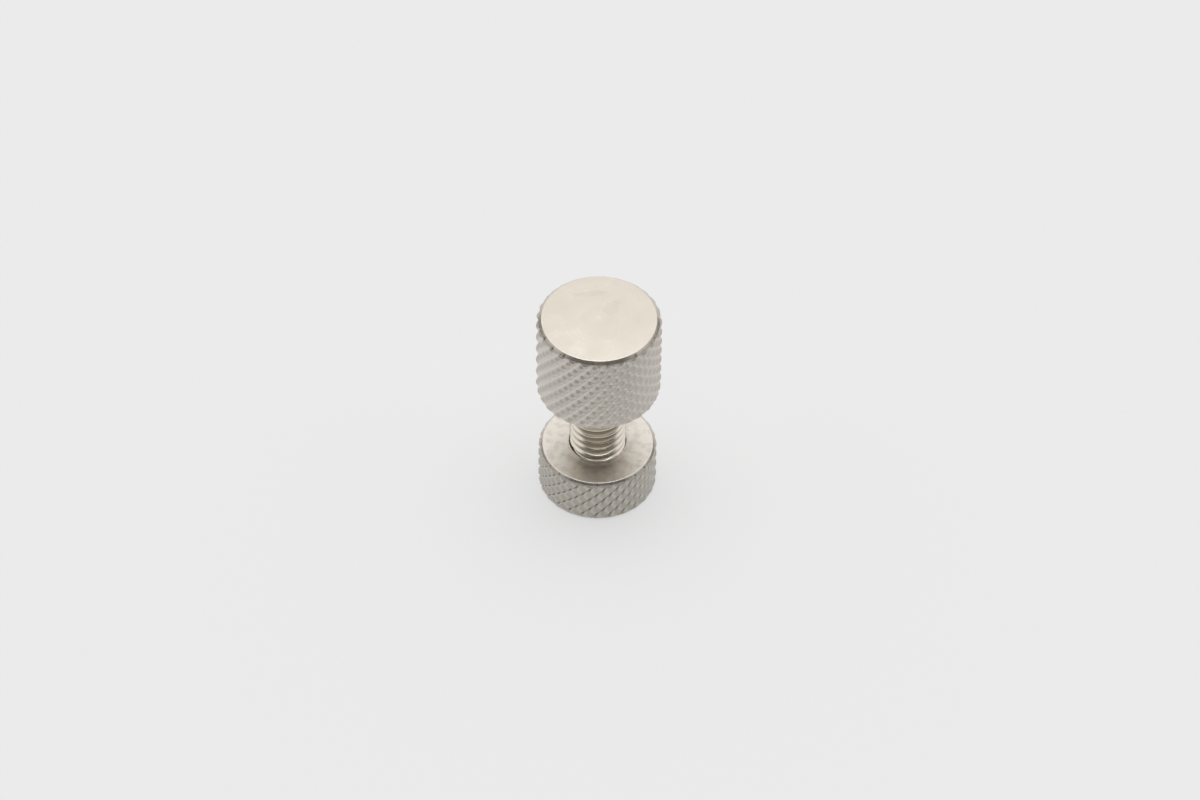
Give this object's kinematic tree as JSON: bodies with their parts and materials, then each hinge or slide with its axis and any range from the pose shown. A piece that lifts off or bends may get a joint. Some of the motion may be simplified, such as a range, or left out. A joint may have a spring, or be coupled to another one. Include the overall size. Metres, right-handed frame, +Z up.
{
  "type": "thumb screw",
  "caption": "Thumb screw with a tall diamond-knurled head, a threaded shank and a low knurled nut that travels on it to clamp a plate or lock a setting.",
  "frame": {"origin": "centre of the nut's lower face, on which the part stands", "axes": "+Z up the common axis of screw and nut, from the nut to the head"},
  "size_m": [0.013, 0.013, 0.0243],
  "materials": {
    "screw_nickel": "nickel plate, satin, with fine turning marks",
    "nut_nickel": "nickel plate, satin, with fine turning marks"
  },
  "bodies": {
    "screw": {"thumb_screw": "screw_nickel"},
    "nut": {"thumb_nut": "nut_nickel"}
  },
  "joints": [
    {"name": "nut_travel", "type": "slide", "parent": "screw", "child": "nut", "axis": [0, 0, 1], "range_m": [0, 0.008]}
  ]
}
